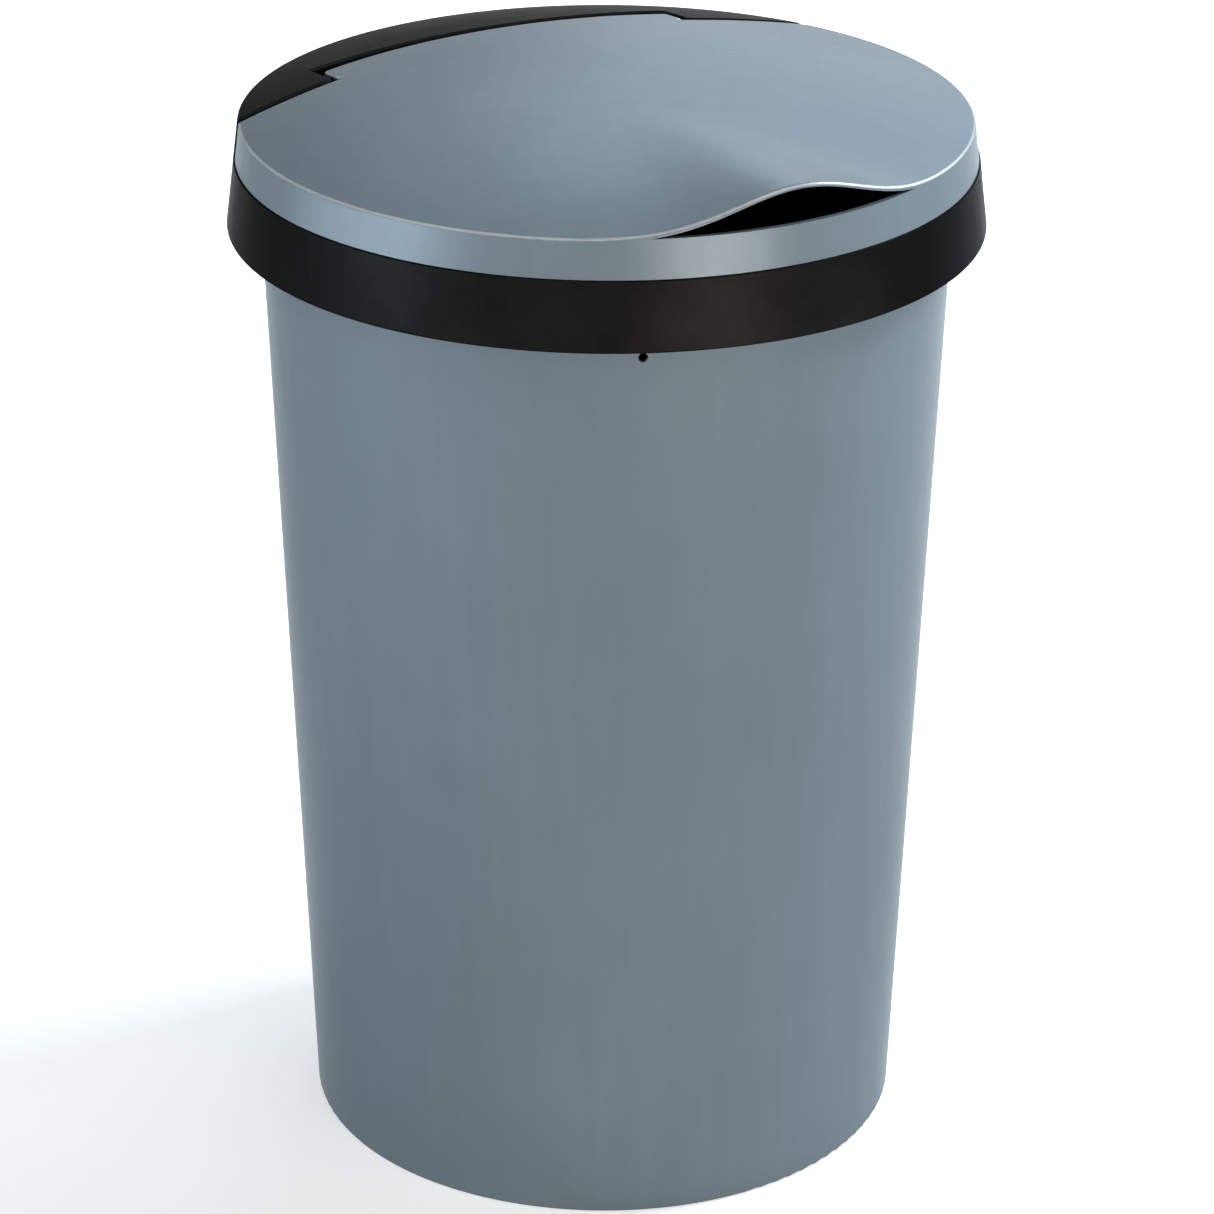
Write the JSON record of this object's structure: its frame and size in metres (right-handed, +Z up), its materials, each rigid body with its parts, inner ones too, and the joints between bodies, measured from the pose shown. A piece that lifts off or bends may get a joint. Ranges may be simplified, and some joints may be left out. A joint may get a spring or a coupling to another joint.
{
  "type": "swing lid trash can",
  "caption": "Round tapered trash can in silver plastic with a lift-off black collar and a domed silver lid, hinged at the rear and lifted by a finger opening at the front.",
  "frame": {"origin": "centre of the foot ring, on the floor", "axes": "+Z up, -Y towards the front with the finger opening, +Y towards the hinge"},
  "size_m": [0.404, 0.404, 0.5939],
  "materials": {
    "silver_plastic": "satin, with a fine metallic pigment",
    "black_plastic": "fine moulded grain",
    "pin_plastic": "smooth"
  },
  "bodies": {
    "bin": {"body": "silver_plastic"},
    "collar": {"collar": "black_plastic", "hinge_pin_left": "pin_plastic", "hinge_pin_right": "pin_plastic"},
    "lid": {"lid": "silver_plastic"}
  },
  "joints": [
    {"name": "collar_lift", "type": "slide", "parent": "bin", "child": "collar", "axis": [0, 0, 1], "range_m": [0, 0.08]},
    {"name": "lid_hinge", "type": "hinge", "parent": "collar", "child": "lid", "pos_m": [0, 0.1199, 0.5734], "axis": [-1, 0, 0], "range_deg": [0, 100]}
  ]
}
